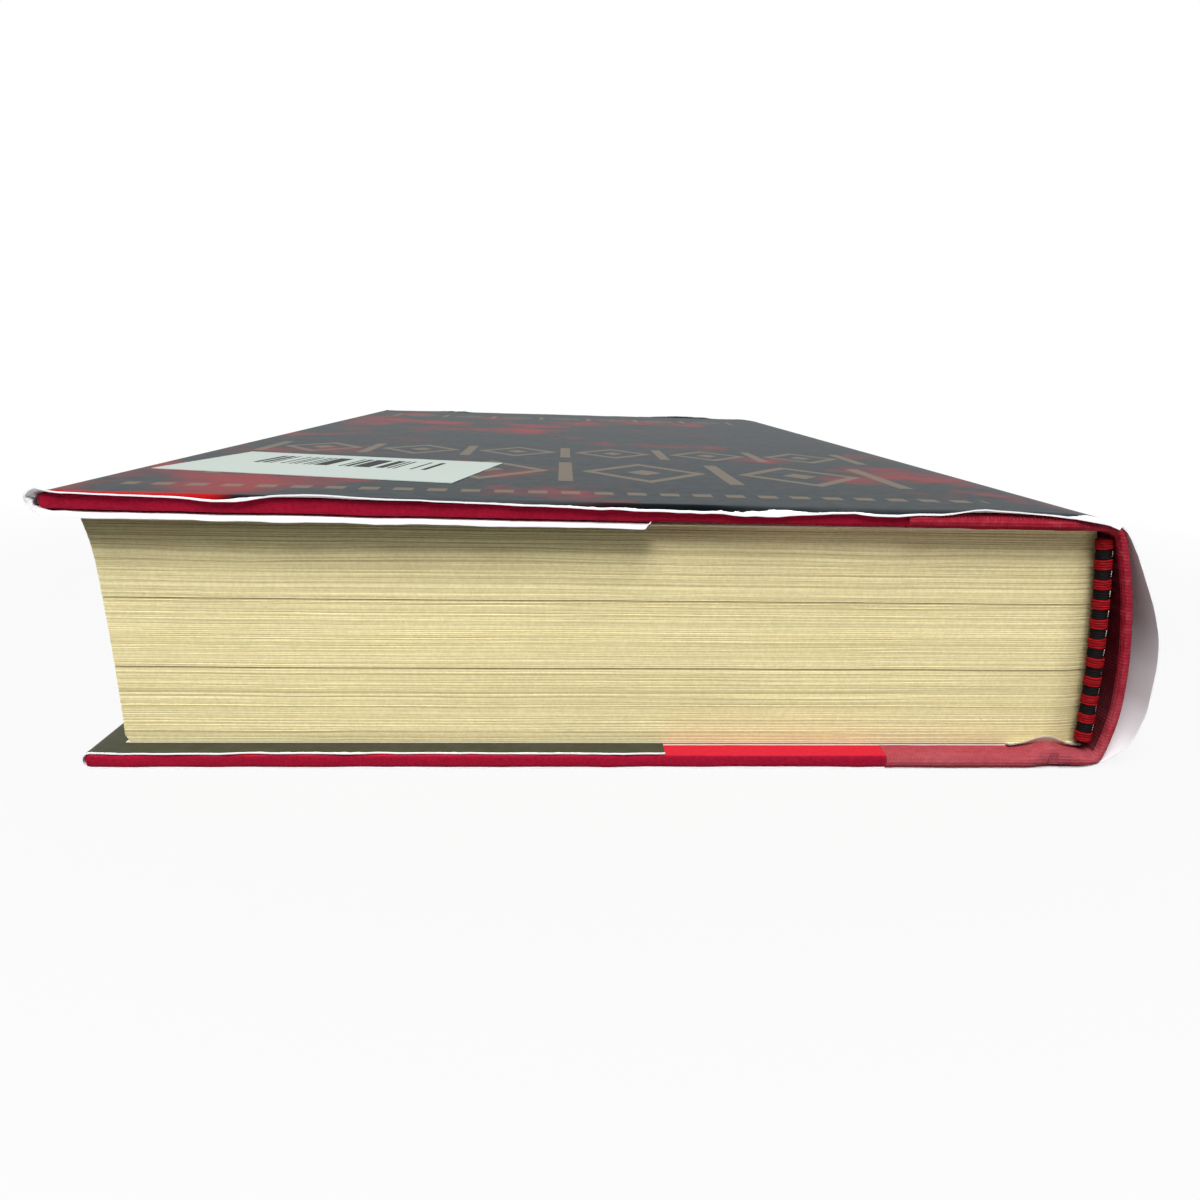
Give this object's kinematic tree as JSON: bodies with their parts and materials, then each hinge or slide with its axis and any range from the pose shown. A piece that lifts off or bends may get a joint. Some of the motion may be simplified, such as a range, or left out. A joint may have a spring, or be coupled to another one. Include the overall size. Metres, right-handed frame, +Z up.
{
  "type": "hardback book",
  "caption": "Thick jacketed hardback book lying closed on its back cover, quarter-bound in red paper and cloth, with covers that open flat.",
  "frame": {"origin": "under the middle of the closed book, on the surface that it lies on", "axes": "+X towards the spine, +Y from the head edge towards the tail edge, +Z up towards the front cover"},
  "size_m": [0.1674, 0.2414, 0.0424],
  "materials": {
    "book_paper": "uncoated cream, trimmed edges",
    "endpaper": "uncoated white",
    "mull_cloth": "open weave, glued",
    "lining_paper": "brown lining paper",
    "band_red": "woven tape",
    "band_black": "wound thread",
    "binders_board": "grey board",
    "spine_cloth": "fine crimson book cloth",
    "side_paper": "smooth crimson paper",
    "jacket_paper": "glossy printed outside, white inside",
    "label_paper": "matt white label"
  },
  "bodies": {
    "book_block": {"text_block": "book_paper", "front_flyleaf": "endpaper", "back_flyleaf": "endpaper", "spine_mull": "mull_cloth", "spine_lining": "lining_paper", "head_band": "band_red", "head_band_threads": "band_black", "tail_band": "band_red", "tail_band_threads": "band_black", "spine_strip": "binders_board", "spine_cloth": "spine_cloth", "jacket_spine": "jacket_paper"},
    "front_cover": {"front_board": "binders_board", "front_cover_paper": "side_paper", "front_joint_cloth": "spine_cloth", "front_mull_flange": "mull_cloth", "front_pastedown": "endpaper", "jacket_front": "jacket_paper", "shop_label": "label_paper"},
    "back_cover": {"back_board": "binders_board", "back_cover_paper": "side_paper", "back_joint_cloth": "spine_cloth", "back_mull_flange": "mull_cloth", "back_pastedown": "endpaper", "jacket_back": "jacket_paper"}
  },
  "joints": [
    {"name": "front_cover_hinge", "type": "hinge", "parent": "book_block", "child": "front_cover", "pos_m": [0.0735, 0, 0.0391], "axis": [0, 1, 0], "range_deg": [0, 180]},
    {"name": "back_cover_hinge", "type": "hinge", "parent": "book_block", "child": "back_cover", "pos_m": [0.075, 0, 0.0002], "axis": [0, -1, 0], "range_deg": [0, 180]}
  ]
}
